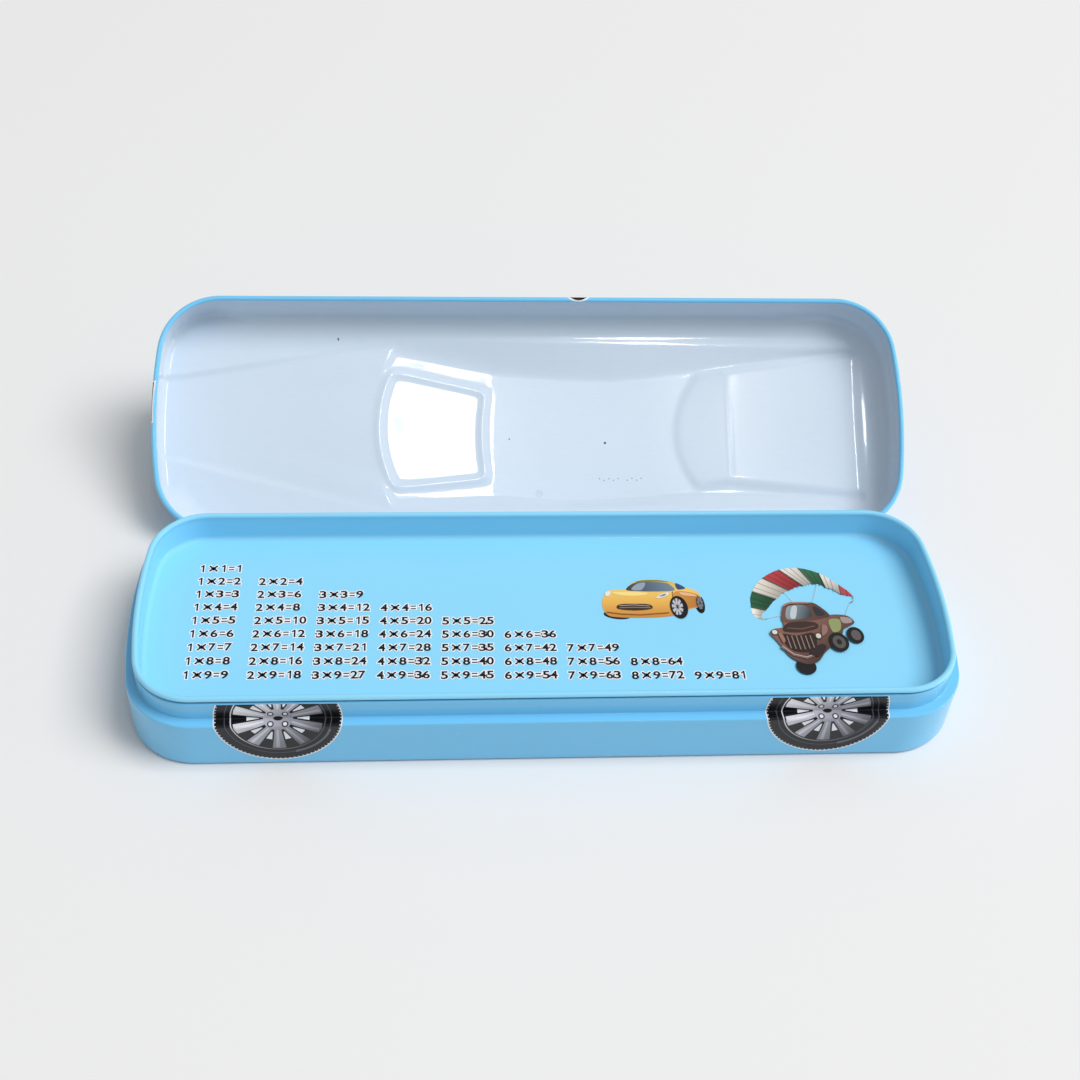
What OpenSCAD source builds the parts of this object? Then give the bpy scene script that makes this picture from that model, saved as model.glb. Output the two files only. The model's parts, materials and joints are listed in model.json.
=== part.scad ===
// Hinged tin pencil case with a lift-out tray.
// Millimetres. Origin at the middle of the underside, +X along the case,
// +Y towards the hinges, +Z up. The lid is drawn open, lying back on the table.

/* [Case] */
// Length over the bowed ends
case_l = 205; // [190:1:220]
// Width over the straight sides
case_w = 65.6; // [62:0.2:72]
// Corner radius in plan
corner_r = 16.8; // [15.5:0.1:20]
// How far each short end bows out
end_bow = 0.9; // [0.5:0.1:2]
// Thickness of the tinplate
sheet_t = 0.35; // [0.3:0.05:0.4]

/* [Base] */
// Height of the ledge that the closed lid sits on
ledge_z = 14.8; // [14.5:0.1:16]
// Height of the neck's top edge
neck_top_z = 20.4; // [20:0.1:20.4]
// How far the neck stands in from the outside
neck_inset = 2.4; // [2.3:0.05:2.5]
// Radius where the walls turn under to the floor
floor_round = 1.2; // [0.8:0.1:2]
// Width of the hem folded in along the neck's top
hem_w = 0.75; // [0.6:0.05:0.8]
// Height of that hem
hem_h = 0.8; // [0.5:0.1:1.5]

/* [Tray] */
// Height of the tray's floor, on its upper face
tray_floor_z = 13.6; // [12:0.1:14]
// Radius of the bead rolled along the tray's rim
bead_r = 0.75; // [0.6:0.05:0.8]
// Height of the middle of that bead
bead_z = 21.3; // [21.3:0.1:21.8]
// How far the tray's inner wall stands in from the case's outside
tray_wall_inset = 3.8; // [3.75:0.05:4.2]
// Radius between the tray's wall and its floor
tray_round = 1.2; // [0.8:0.1:3]

/* [Lid] */
// Depth of the lid from its rim to its flat top
lid_depth = 13.0; // [12:0.1:13]
// Radius from the lid's wall to its top
lid_round = 8; // [5:0.5:8]
// Gap between the ledge and the closed lid's rim
lid_gap = 0.2; // [0.1:0.1:0.4]
// Width of the curl turned in along the lid's rim
curl_w = 1.35; // [1:0.05:1.4]
// Height of that curl
curl_h = 1.2; // [0.8:0.1:1.6]
// How far in the lid's raised panel starts
panel_inset = 11; // [9:0.5:13]
// Height of the raised panel
panel_h = 2.0; // [1:0.1:2]
// Angle from closed at which the lid lies back on the table
lid_open_deg = 147.3; // [100:0.1:147.3]

/* [Hinges] */
// Height of the hinge pins
hinge_z = 10.9; // [10:0.1:11]
// Distance of each hinge from the middle of the case
hinge_x = 38; // [25:1:70]
// Width of a hinge
hinge_w = 22; // [18:1:28]
// Thickness of a hinge leaf
leaf_t = 0.4; // [0.3:0.05:0.4]
// Radius of a hinge pin
pin_r = 0.5; // [0.4:0.05:0.5]
// Radial clearance of the pin in its knuckles
pin_clearance = 0.05; // [0.02:0.01:0.08]
// Width of the middle knuckle, which belongs to the lid
lid_knuckle_w = 8; // [6:0.5:12]
// Gap at each end of the middle knuckle
knuckle_gap = 0.25; // [0.15:0.05:0.5]
// Radius of a rivet's shank
rivet_r = 0.6; // [0.4:0.05:0.7]
// Distance of each rivet from the middle of its hinge
rivet_x = 7.5; // [6:0.5:8]

/* [Hidden] */

blue = [0.42, 0.70, 0.90];
lacquer_blue = [0.36, 0.64, 0.86];
steel = [0.72, 0.73, 0.75];
round_fn = 48;

// Plan outline
corner_steps = 9;
end_steps = 6;
straight_end = case_w / 2 - corner_r;               // half the length of the bowed stretch
end_r = (straight_end ^ 2 + end_bow ^ 2) / (2 * end_bow);
end_cx = case_l / 2 - end_r;
corner_cx = end_cx + sqrt((end_r - corner_r) ^ 2 - straight_end ^ 2);
join_deg = atan2(straight_end, corner_cx - end_cx); // where a corner meets the bowed end

// Small radii in the pressed walls
ledge_round = 0.5;
ledge_fillet = 0.3;
hem_round = 0.3;
curl_round = 0.5;
panel_slope = 3;

// Closed lid
lid_rim_z = ledge_z + lid_gap;

// Hinges: the pin stands off the rear wall, so the lid's knuckle turns clear of it
rear_y = case_w / 2;
bore_r = pin_r + pin_clearance;
knuckle_r = bore_r + sheet_t;
wall_clearance = 0.1;
hinge_y = rear_y + knuckle_r + wall_clearance;
pin_end_gap = 0.05;                                 // between the outer knuckles and the pin's heads
pin_head_r = 0.78;
pin_head_l = 0.4;

// Hinge leaves
base_leaf_z = 2.6;                                  // lower edge of the base's leaf
lid_leaf_low_z = lid_rim_z + 0.4;                   // clears the lid's rim
lid_leaf_top_z = lid_rim_z + lid_depth - lid_round - 0.3;
tongue_lap = 0.5;                                   // how far the lid's tongue runs up its leaf
slot_margin = 0.4;                                  // below the knuckle, where the lid's tongue swings
slot_size = 4;                                      // more than the leaf and the knuckle together

// Rivets
base_rivet_z = 5.6;
lid_rivet_z = (lid_leaf_low_z + lid_leaf_top_z) / 2;
rivet_head_r = 1.15;
rivet_head_h = 0.4;
rivet_tail_r = 1.0;
rivet_tail_h = 0.3;
rivet_clearance = 0.02;
drill_h = 4;
crown = 0.6;                                        // flat part of a rivet's rounded end

// Points along a circle, from angle a0 to a1 in n steps
function arc(cx, cy, r, a0, a1, n) =
    [for (k = [0 : n]) let (a = a0 + (a1 - a0) * k / n) [cx + r * cos(a), cy + r * sin(a)]];

// The case's plan outline pulled in by inset, anticlockwise from above
function right_half(inset) = concat(
    arc(corner_cx, -straight_end, corner_r - inset, -90, -join_deg, corner_steps),
    [for (k = [1 : end_steps - 1]) let (a = join_deg * (2 * k / end_steps - 1))
        [end_cx + (end_r - inset) * cos(a), (end_r - inset) * sin(a)]],
    arc(corner_cx, straight_end, corner_r - inset, join_deg, 90, corner_steps));
function outline(inset) = let (h = right_half(inset)) concat(h, [for (p = h) -p]);

// A closed wall section of [inset, height] points, carried round the outline.
// It starts under the floor, climbs the outside, crosses the rim and ends on the floor inside.
module pressed_shell(section) {
    n = len(outline(0));
    last = len(section) - 1;
    polyhedron(
        points = [for (s = section) each [for (p = outline(s[0])) [p[0], p[1], s[1]]]],
        faces = concat(
            [[for (i = [0 : n - 1]) i]],
            [for (k = [0 : last - 1], i = [0 : n - 1]) let (j = (i + 1) % n)
                [k * n + i, (k + 1) * n + i, (k + 1) * n + j, k * n + j]],
            [[for (i = [n - 1 : -1 : 0]) last * n + i]]),
        convexity = 6);
}

// Body wall, ledge and neck
function base_section() = concat(
    arc(floor_round, floor_round, floor_round, 270, 180, 4),
    arc(ledge_round, ledge_z - ledge_round, ledge_round, 180, 90, 3),
    arc(neck_inset - ledge_fillet, ledge_z + ledge_fillet, ledge_fillet, 270, 360, 2),
    arc(neck_inset + hem_round, neck_top_z - hem_round, hem_round, 180, 90, 2),
    arc(neck_inset + hem_w - hem_round, neck_top_z - hem_round, hem_round, 90, 0, 2),
    [[neck_inset + hem_w, neck_top_z - hem_h],
     [neck_inset + sheet_t, neck_top_z - hem_h],
     [neck_inset + sheet_t, ledge_z - sheet_t]],
    arc(ledge_round, ledge_z - ledge_round, ledge_round - sheet_t, 90, 180, 1),
    arc(floor_round, floor_round, floor_round - sheet_t, 180, 270, 3));

// Tray: a flat floor, a near upright wall and a rolled bead that hangs on the neck
function tray_section() = let (
    bead_in = neck_inset + bead_r,
    outer = tray_wall_inset - sheet_t,
    from = 360 - acos((outer - bead_in) / bead_r),
    to = -acos((tray_wall_inset - bead_in) / bead_r),
    mid = tray_wall_inset + tray_round)
    concat(
        arc(mid, tray_floor_z + tray_round, tray_round + sheet_t, 270, 180, 4),
        arc(bead_in, bead_z, bead_r, from, to, 12),
        arc(mid, tray_floor_z + tray_round, tray_round, 180, 270, 4));

// Lid as a dish with its rim at height 0 and its top below, turned over when it is placed
function lid_section() = let (
    top = -lid_depth,
    flat = panel_inset + panel_slope,
    corner_z = top + lid_round)
    concat(
        [[flat, top - panel_h], [panel_inset, top]],
        arc(lid_round, corner_z, lid_round, 270, 180, 8),
        arc(curl_round, -curl_round, curl_round, 180, 90, 2),
        arc(curl_w - curl_round, -curl_round, curl_round, 90, 0, 2),
        [[curl_w, -curl_h], [sheet_t, -curl_h]],
        arc(lid_round, corner_z, lid_round - sheet_t, 180, 270, 8),
        [[panel_inset, top + sheet_t], [flat, top - panel_h + sheet_t]]);

// Turns what is drawn on the closed case back to where the open lid lies
module opened() {
    translate([0, hinge_y, hinge_z]) rotate([-lid_open_deg, 0, 0])
        translate([0, -hinge_y, -hinge_z]) children();
}

// Holes for one row of rivets through a rear wall, at height z
module rivet_holes(z) {
    for (side = [-1, 1], k = [-1, 1])
        translate([side * hinge_x + k * rivet_x, rear_y + drill_h / 2, z]) rotate([90, 0, 0])
            cylinder(r = rivet_r + rivet_clearance, h = drill_h, $fn = round_fn);
}

// The rivets of both hinges, at height z: head outside, shank through, tail inside
module rivets(z) {
    for (side = [-1, 1], k = [-1, 1])
        translate([side * hinge_x + k * rivet_x, rear_y, z]) rotate([90, 0, 0])
            rotate_extrude($fn = round_fn) polygon([
                [0, -leaf_t - rivet_head_h],
                [rivet_head_r * crown, -leaf_t - rivet_head_h * 0.9],
                [rivet_head_r, -leaf_t - rivet_head_h * 0.35],
                [rivet_head_r, -leaf_t],
                [rivet_r, -leaf_t],
                [rivet_r, sheet_t],
                [rivet_tail_r, sheet_t],
                [rivet_tail_r, sheet_t + rivet_tail_h * crown],
                [rivet_tail_r * crown, sheet_t + rivet_tail_h],
                [0, sheet_t + rivet_tail_h]]);
}

// A plate of leaf metal against the rear wall, between two heights
module leaf_plate(x, w, z0, z1, off = 0) {
    translate([x - w / 2, rear_y + off, z0]) cube([w, leaf_t, z1 - z0]);
}

// A cylinder along the hinge's axis, from x0 to x1
module along_hinge(r, x0, x1) {
    translate([x0, hinge_y, hinge_z]) rotate([0, 90, 0]) cylinder(r = r, h = x1 - x0, $fn = round_fn);
}

module base_leaf(side) {
    x = side * hinge_x;
    slot = lid_knuckle_w / 2 + knuckle_gap;
    color(steel) difference() {
        union() {
            leaf_plate(x, hinge_w, base_leaf_z, hinge_z);
            along_hinge(knuckle_r, x - hinge_w / 2, x - slot);
            along_hinge(knuckle_r, x + slot, x + hinge_w / 2);
        }
        along_hinge(bore_r, x - hinge_w, x + hinge_w);
        translate([x - slot, rear_y - slot_size / 4, hinge_z - knuckle_r - slot_margin])
            cube([2 * slot, slot_size, slot_size]);
        rivet_holes(base_rivet_z);
    }
}

module lid_leaf(side) {
    x = side * hinge_x;
    color(steel) opened() difference() {
        union() {
            leaf_plate(x, hinge_w, lid_leaf_low_z, lid_leaf_top_z);
            leaf_plate(x, lid_knuckle_w, hinge_z, lid_leaf_low_z + tongue_lap, wall_clearance);
            along_hinge(knuckle_r, x - lid_knuckle_w / 2, x + lid_knuckle_w / 2);
        }
        along_hinge(bore_r, x - hinge_w, x + hinge_w);
        rivet_holes(lid_rivet_z);
    }
}

module hinge_pin(side) {
    x = side * hinge_x;
    end = hinge_w / 2 + pin_end_gap;
    color(steel) {
        along_hinge(pin_r, x - end, x + end);
        along_hinge(pin_head_r, x - end - pin_head_l, x - end);
        along_hinge(pin_head_r, x + end, x + end + pin_head_l);
    }
}

module base_shell() {
    color(blue) difference() {
        pressed_shell(base_section());
        rivet_holes(base_rivet_z);
    }
}

module lift_out_tray() {
    color(lacquer_blue) pressed_shell(tray_section());
}

module lid_shell() {
    color(blue) opened() difference() {
        translate([0, 0, lid_rim_z]) rotate([180, 0, 0]) pressed_shell(lid_section());
        rivet_holes(lid_rivet_z);
    }
}

module base_leaf_rivets() {
    color(steel) rivets(base_rivet_z);
}

module lid_leaf_rivets() {
    color(steel) opened() rivets(lid_rivet_z);
}

base_shell();
lift_out_tray();
lid_shell();
base_leaf(-1);  // base_hinge_leaf_left
base_leaf(1);  // base_hinge_leaf_right
lid_leaf(-1);  // lid_hinge_leaf_left
lid_leaf(1);  // lid_hinge_leaf_right
hinge_pin(-1);  // hinge_pin_left
hinge_pin(1);  // hinge_pin_right
base_leaf_rivets();
lid_leaf_rivets();
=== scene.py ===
import json
import math

import bmesh
import bpy
import numpy as np
from mathutils import Matrix, Vector

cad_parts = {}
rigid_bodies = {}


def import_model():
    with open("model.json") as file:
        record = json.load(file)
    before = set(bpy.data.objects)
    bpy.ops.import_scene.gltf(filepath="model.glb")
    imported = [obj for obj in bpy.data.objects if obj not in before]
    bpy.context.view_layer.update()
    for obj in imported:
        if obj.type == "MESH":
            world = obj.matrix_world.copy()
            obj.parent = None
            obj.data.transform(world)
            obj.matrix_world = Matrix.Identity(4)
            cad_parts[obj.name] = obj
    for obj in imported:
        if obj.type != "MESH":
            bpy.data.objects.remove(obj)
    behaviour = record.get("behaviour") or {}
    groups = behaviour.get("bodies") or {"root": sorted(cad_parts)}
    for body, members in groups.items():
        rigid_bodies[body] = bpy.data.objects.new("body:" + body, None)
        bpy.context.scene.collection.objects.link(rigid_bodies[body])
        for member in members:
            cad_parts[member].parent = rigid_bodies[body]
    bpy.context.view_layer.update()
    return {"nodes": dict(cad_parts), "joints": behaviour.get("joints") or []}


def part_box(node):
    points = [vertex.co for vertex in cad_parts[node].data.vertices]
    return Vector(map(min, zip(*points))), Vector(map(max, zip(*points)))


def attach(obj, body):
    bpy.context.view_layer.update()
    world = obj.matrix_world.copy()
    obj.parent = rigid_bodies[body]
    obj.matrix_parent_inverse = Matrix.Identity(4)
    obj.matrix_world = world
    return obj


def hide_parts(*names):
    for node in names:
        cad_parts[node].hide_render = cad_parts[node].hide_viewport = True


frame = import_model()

MM = 0.001

# ------------------------------------------------------------------ sizes, in mm
base_low, base_high = [np.array(p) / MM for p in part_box("base_shell")]
tray_low, tray_high = [np.array(p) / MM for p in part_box("lift_out_tray")]
case_l, case_w, neck_top_z = base_high - base_low
sheet_t = 0.35
corner_r = 16.8
end_bow = 0.9
ledge_z = 14.8
neck_inset = (case_w - (tray_high[1] - tray_low[1])) / 2
bead_r = 0.75
bead_z = tray_high[2] - bead_r
hem_top_z = neck_top_z - 0.2
hem_w, hem_h, hem_round = 0.75, 0.8, 0.36
floor_round = 1.2
ledge_round, ledge_fillet = 0.5, 0.35
tray_floor_z = tray_low[2] + sheet_t
tray_wall_inset = 3.8
tray_round = 1.2
lid_rim_z = ledge_z + 0.2
lid_depth = 13.0
lid_round = 8.0
wall_top = lid_depth - lid_round              # how deep the lid's upright wall is
nose_round = 1.9
curl_r = 0.675
curl_deg = 260                                # how far the lid's rim is rolled in
lid_joint = next(j for j in frame["joints"] if j["name"] == "lid_hinge")
hinge_y, hinge_z = [v / MM for v in lid_joint["pos_m"][1:]]
lid_open = math.radians(lid_joint["range_deg"][1])


def put(name, data):
    """A new object in the scene, at the origin."""
    made = bpy.data.objects.new(name, data)
    bpy.context.collection.objects.link(made)
    return made


def step(low, high, value):
    """0 up to low, 1 from high on, and a smooth rise between."""
    t = np.clip((value - low) / (high - low), 0, 1)
    return t * t * (3 - 2 * t)


# ------------------------------------------------------------------ plan outline
ALONG, ACROSS = 280, 80                       # grid cells along the case and across it
straight_end = case_w / 2 - corner_r
end_r = (straight_end ** 2 + end_bow ** 2) / (2 * end_bow)
end_cx = case_l / 2 - end_r
corner_cx = end_cx + math.sqrt((end_r - corner_r) ** 2 - straight_end ** 2)
join = math.atan2(straight_end, corner_cx - end_cx)


def outline_rays():
    """Points round the case's outside and the inward directions there, anticlockwise from
    the middle of the front left corner, spaced evenly as the lid's flat top needs them."""
    low = np.linspace(-math.pi / 2, -join, 400)
    bow = np.linspace(-join, join, 200)[1:-1]
    angle = np.concatenate([low, bow, -low[::-1]])
    round_corner = abs(angle) > join - 1e-9
    rays = np.c_[np.cos(angle), np.sin(angle)]
    round_centre = np.c_[np.full(len(angle), corner_cx), np.sign(angle) * straight_end]
    right = np.where(round_corner[:, None], round_centre + corner_r * rays, (end_cx, 0) + end_r * rays)
    points = np.vstack([right, -right])
    outward = np.vstack([rays, -rays])
    start = int(np.argmin(abs(angle + math.pi / 4)))     # middle of the front right corner
    points, outward = np.roll(points, -start, 0), np.roll(outward, -start, 0)
    at_top = points - outward * lid_round
    closed = np.vstack([at_top, at_top[:1]])
    run = np.concatenate([[0], np.cumsum(np.hypot(*np.diff(closed, axis=0).T))])
    turned = np.unwrap(np.arctan2(outward[:, 1], outward[:, 0]))
    turned = np.append(turned, turned[0] + 2 * math.pi)
    marks = [run[int(np.argmin(abs(turned - turned[0] - q * math.pi / 2)))] for q in range(5)]
    at = np.concatenate([np.linspace(marks[q], marks[q + 1], n + 1)[:-1]
                         for q, n in enumerate((ACROSS, ALONG, ACROSS, ALONG))])
    base = np.vstack([points, points[:1]])
    where = np.c_[np.interp(at, run, base[:, 0]), np.interp(at, run, base[:, 1])]
    angle = np.interp(at, run, turned)
    return np.roll(where, ALONG, 0), np.roll(-np.c_[np.cos(angle), np.sin(angle)], ALONG, 0)


EDGE, INWARD = outline_rays()
RING = len(EDGE)


def ring(inset, z):
    """The outline pulled in by inset, at height z."""
    return np.c_[EDGE + INWARD * inset, np.full(RING, float(z))]


def arc(cx, cy, r, a0, a1, n):
    """n + 1 points round (cx, cy), from angle a0 to a1 in degrees."""
    return [(cx + r * math.cos(a), cy + r * math.sin(a)) for a in np.radians(np.linspace(a0, a1, n + 1))]


def grid_inside(edge):
    """A Coons patch inside a ring of points: rows of points that start and end on the ring."""
    front = edge[:ALONG + 1]
    right = edge[ALONG:ALONG + ACROSS + 1]
    back = edge[ALONG + ACROSS:2 * ALONG + ACROSS + 1][::-1]
    left = np.vstack([edge[2 * ALONG + ACROSS:], edge[:1]])[::-1]
    u = np.linspace(0, 1, ALONG + 1)[None, :, None]
    v = np.linspace(0, 1, ACROSS + 1)[:, None, None]
    corners = (1 - v) * ((1 - u) * front[0] + u * front[-1]) + v * ((1 - u) * back[0] + u * back[-1])
    return (1 - v) * front[None] + v * back[None] + (1 - u) * left[:, None] + u * right[:, None] - corners


class Sheet:
    """Builds one pressed sheet from rings and flat grids that share their points."""

    def __init__(self):
        self.points, self.plans, self.faces, self.kinds, self.count = [], [], [], [], 0

    def add(self, points):
        start = self.count
        self.points.append(points)
        self.plans.append(points[:, :2])
        self.count += len(points)
        return start + np.arange(len(points))

    def band(self, a, b, kind):
        """Faces between two rings, seen from the side where a to b climbs and the outline runs right."""
        quads = np.c_[a, np.roll(a, -1), np.roll(b, -1), b]
        self.faces.append(quads)
        self.kinds += [kind] * len(quads)

    def rings(self, section, kinds, shape=ring):
        rows = [self.add(shape(*s)) for s in section]
        for k in range(len(rows) - 1):
            self.band(rows[k], rows[k + 1], kinds[k] if isinstance(kinds, list) else kinds)
        return rows

    def cap(self, edge_rows, edge_points, kind, up, shape=None):
        """A grid that fills a ring. up says whether its faces look up."""
        grid = grid_inside(edge_points)
        inner = grid[1:-1, 1:-1].reshape(-1, 3)
        if shape is not None:
            inner = shape(inner)
        index = np.zeros(grid.shape[:2], int)
        index[1:-1, 1:-1] = self.add(inner).reshape(ACROSS - 1, ALONG - 1)
        index[0] = edge_rows[:ALONG + 1]
        index[:, -1] = edge_rows[ALONG:ALONG + ACROSS + 1]
        index[-1, ::-1] = edge_rows[ALONG + ACROSS:2 * ALONG + ACROSS + 1]
        index[::-1, 0] = np.append(edge_rows[2 * ALONG + ACROSS:], edge_rows[0])
        corners = index[:-1, :-1], index[:-1, 1:], index[1:, 1:], index[1:, :-1]
        quads = np.stack([c.ravel() for c in corners], 1)
        self.faces.append(quads if up else quads[:, ::-1])
        self.kinds += [kind] * len(quads)

    def make(self, name, materials, place=None):
        points = np.vstack(self.points)
        if place is not None:
            points = place(points)
        mesh = bpy.data.meshes.new(name)
        mesh.from_pydata((points * MM).tolist(), [], np.vstack(self.faces).tolist())
        for m in materials:
            mesh.materials.append(m)
        mesh.polygons.foreach_set("material_index", self.kinds)
        mesh.polygons.foreach_set("use_smooth", [True] * len(mesh.polygons))
        plan = np.c_[np.vstack(self.plans), np.zeros(self.count)]
        mesh.attributes.new("plan", "FLOAT_VECTOR", "POINT").data.foreach_set("vector", plan.ravel())
        mesh.update()
        return put(name, mesh)


def opened(points):
    """Turns points of the closed lid back to where the open lid lies."""
    y, z = points[:, 1] - hinge_y, points[:, 2] - hinge_z
    c, s = math.cos(lid_open), math.sin(lid_open)
    return np.c_[points[:, 0], hinge_y + y * c + z * s, hinge_z - y * s + z * c]


# ------------------------------------------------------------------ embossed car on the lid
hood_h = 0.5
boot_start, boot_end = 56.0, 92.6
# Slope of the car's middle line at places along it
spine_at, spine_slope = zip(
    (-44, 0.078), (-30, 0.074), (-11.6, 0.064), (-10.4, 0.026), (3, 0.0),
    (20, -0.024), (32, -0.038), (55.9, -0.038), (56.1, -0.012), (93, -0.004))
CELL = 0.25                                   # spacing of the emboss's own grid
spine_x = np.arange(-42, 104, CELL)
spine_rise = np.interp(spine_x[:-1] + CELL / 2, spine_at, spine_slope) * CELL
spine_h = hood_h + np.concatenate([[0], np.cumsum(spine_rise)])


def line(*corners):
    """A function of x through the given (x, y) corners."""
    xs, ys = zip(*corners)
    return lambda x: np.interp(x, xs, ys)


shoulder_front = line((-35, -24.0), (90, -21.9))
shoulder_back = line((-35, 25.4), (90, 23.6))
ridge_front = line((-39.3, -20.4), (-8, -14.9), (11, -13.6), (24, -13.2), (33, -14.0),
                   (46, -15.6), (58, -17.2), (80, -20.0), (91, -21.2))
ridge_back = line((-39.3, 21.6), (-8, 20.6), (11, 22.2), (25, 21.6), (47, 19.8), (91, 21.2))
hood_front = line((-101.5, -12.6), (-34.8, -24.0))
hood_back = line((-101, 8.9), (-39.2, 24.9))
boot_front = line((47.6, -14.0), (91, -19.6))
boot_back = line((47.6, 16.6), (56, 15.6), (91, 19.2))
glass_front = line((-39.3, -16.6), (-10.6, -10.5))
glass_back = line((-39.7, 19.5), (-11.3, 16.2))


def bowed(middle_x, end_x, middle_y, half):
    """A curved edge across the lid, as a function of y."""
    return lambda y: middle_x + (end_x - middle_x) * ((y - middle_y) / half) ** 2


glass_low = bowed(-43.8, -39.5, 1.0, 18)
glass_high = bowed(-12.3, -10.8, 3.0, 13.4)
rear_edge = bowed(40.8, 47.4, 2.5, 17)


def inside_glass(x, y):
    """Distance in from the windscreen's outer edge, rounded at its corners."""
    sides = np.stack([(x - glass_low(y)) * 0.7, glass_high(y) - x, y - glass_front(x), glass_back(x) - y])
    soft = 0.8
    return -soft * np.log(np.exp(-np.clip(sides, -20, 20) / soft).sum(0))


def emboss(x, y):
    """How far the lid's top stands out at (x, y) of the closed lid."""
    bow = (glass_low(y) + 42) * (1 - step(-42, -26, x))
    spine = np.interp(x - bow, spine_x, spine_h)
    inside = np.minimum(y - hood_front(x), hood_back(x) - y)
    body = np.minimum(np.clip((y - shoulder_front(x)) / (ridge_front(x) - shoulder_front(x)), 0, 1),
                      np.clip((shoulder_back(x) - y) / (shoulder_back(x) - ridge_back(x)), 0, 1))
    body = step(0, 1, body) * 0.4 + body * 0.6
    h = spine * body * np.maximum(step(-42, -36, x), step(0, 1.5, inside) * (x > -48))
    past = x - rear_edge(y)
    drop = (0.12 + 0.2 * ((y - 2.5) / 17) ** 2) * step(0, 0.8, past)
    drop = drop + 0.35 * np.clip(past / (boot_start - rear_edge(y)), 0, 1)
    across = np.minimum(step(-1.6, 0, y - boot_front(x)), step(-2.6, 0, boot_back(x) - y))
    h = (h - drop * across) * (1 - step(boot_end, boot_end + 1.3, x))
    nose = 1 - step(-85, -45, x)
    fullness = 0.35 + 0.65 * nose + 0.65 * (1 - nose) * step(4, 12, inside)
    low_hood = hood_h * step(-0.45, 0.45, inside) * fullness
    h = np.where(x < -42 + bow, low_hood, np.maximum(h, low_hood * (x < -36)))
    crease = np.exp(-((y - hood_front(x) + 0.9) / 0.45) ** 2)
    crease = crease + np.exp(-((hood_back(x) + 0.9 - y) / 0.45) ** 2) * 0.4
    h = h - 0.22 * crease * (1 - step(-92, -66, x))
    groove = np.sin(np.pi * np.clip(inside_glass(x, y) / 2.4, 0, 1)) ** 2
    return h - 0.5 * groove * (x < -5) * (x > -48)


GRID_X = np.arange(-104, 104 + CELL, CELL)
GRID_Y = np.arange(-34, 34 + CELL, CELL)


def blurred(field, spread):
    """The field blurred by spread mm, as a press rounds every crease."""
    reach = int(3 * spread / CELL)
    kernel = np.exp(-0.5 * (np.arange(-reach, reach + 1) * CELL / spread) ** 2)
    kernel /= kernel.sum()

    def smeared(row):
        return np.convolve(np.pad(row, reach, mode="edge"), kernel, "valid")

    return np.apply_along_axis(smeared, 1, np.apply_along_axis(smeared, 0, field))


PRESSED = emboss(*np.meshgrid(GRID_X, GRID_Y, indexing="ij"))
# The crease before the boot is pressed sharper than the rest
SHARP = np.exp(-((GRID_X - boot_start) / 1.6) ** 4)[:, None]
EMBOSS = blurred(PRESSED, 0.42) * (1 - SHARP) + blurred(PRESSED, 0.16) * SHARP


def embossed(x, y):
    """The blurred emboss at any points."""
    i = np.clip((x - GRID_X[0]) / CELL, 0, len(GRID_X) - 1.001)
    j = np.clip((y - GRID_Y[0]) / CELL, 0, len(GRID_Y) - 1.001)
    a, b = i.astype(int), j.astype(int)
    u, v = i - a, j - b
    return ((1 - u) * (1 - v) * EMBOSS[a, b] + u * (1 - v) * EMBOSS[a + 1, b]
            + (1 - u) * v * EMBOSS[a, b + 1] + u * v * EMBOSS[a + 1, b + 1])


# ------------------------------------------------------------------ finishes
class Value:
    """A number in a material's nodes. Arithmetic on it adds Math nodes."""

    def __init__(self, finish, socket):
        self.finish, self.socket = finish, socket

    def math(self, operation, *inputs):
        made = self.finish.node("ShaderNodeMath", dict(enumerate(inputs)), operation=operation)
        return Value(self.finish, made.outputs[0])

    def __add__(self, other):
        return self.math("ADD", self, other)

    __radd__ = __add__

    def __sub__(self, other):
        return self.math("SUBTRACT", self, other)

    def __rsub__(self, other):
        return self.math("SUBTRACT", other, self)

    def __mul__(self, other):
        return self.math("MULTIPLY", self, other)

    __rmul__ = __mul__

    def __gt__(self, other):
        return self.math("GREATER_THAN", self, other)

    def __lt__(self, other):
        return self.math("LESS_THAN", self, other)


class Finish:
    """One material and the nodes it is made of."""

    def __init__(self, name, **constants):
        self.material = bpy.data.materials.new(name)
        self.material.use_nodes = True
        self.tree = self.material.node_tree
        self.shader = self.tree.nodes["Principled BSDF"]
        for socket, value in constants.items():
            self.shader.inputs[socket.replace("_", " ")].default_value = value
        self.place = self.node("ShaderNodeTexCoord").outputs["Object"]

    def node(self, kind, inputs=None, **settings):
        made = self.tree.nodes.new(kind)
        for key, value in settings.items():
            setattr(made, key, value)
        for key, value in (inputs or {}).items():
            self.give(made.inputs[key], value)
        return made

    def give(self, socket, value):
        if isinstance(value, Value):
            value = value.socket
        if isinstance(value, bpy.types.NodeSocket):
            self.tree.links.new(value, socket)
        else:
            socket.default_value = value

    def noise(self, scale, detail=2.0, roughness=0.5, stretch=None):
        place = self.place
        if stretch:
            place = self.node("ShaderNodeMapping", {"Vector": place, "Scale": stretch}).outputs[0]
        made = self.node("ShaderNodeTexNoise", {"Vector": place, "Scale": scale, "Detail": detail,
                                                "Roughness": roughness})
        return Value(self, made.outputs["Fac"])

    def mix(self, amount, a, b):
        made = self.node("ShaderNodeMix", {0: amount, 6: a, 7: b}, data_type="RGBA")
        return made.outputs[2]

    def feed(self, socket, value):
        self.give(self.shader.inputs[socket], value)

    def bump(self, height, distance, strength=1.0):
        made = self.node("ShaderNodeBump", {"Height": height, "Distance": distance, "Strength": strength})
        self.feed("Normal", made.outputs[0])


def linear(colour):
    """A screen colour, 0 to 255 a channel, as linear light."""
    c = np.array(colour, float) / 255
    return tuple(np.where(c <= 0.04045, c / 12.92, ((c + 0.055) / 1.055) ** 2.4))


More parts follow.
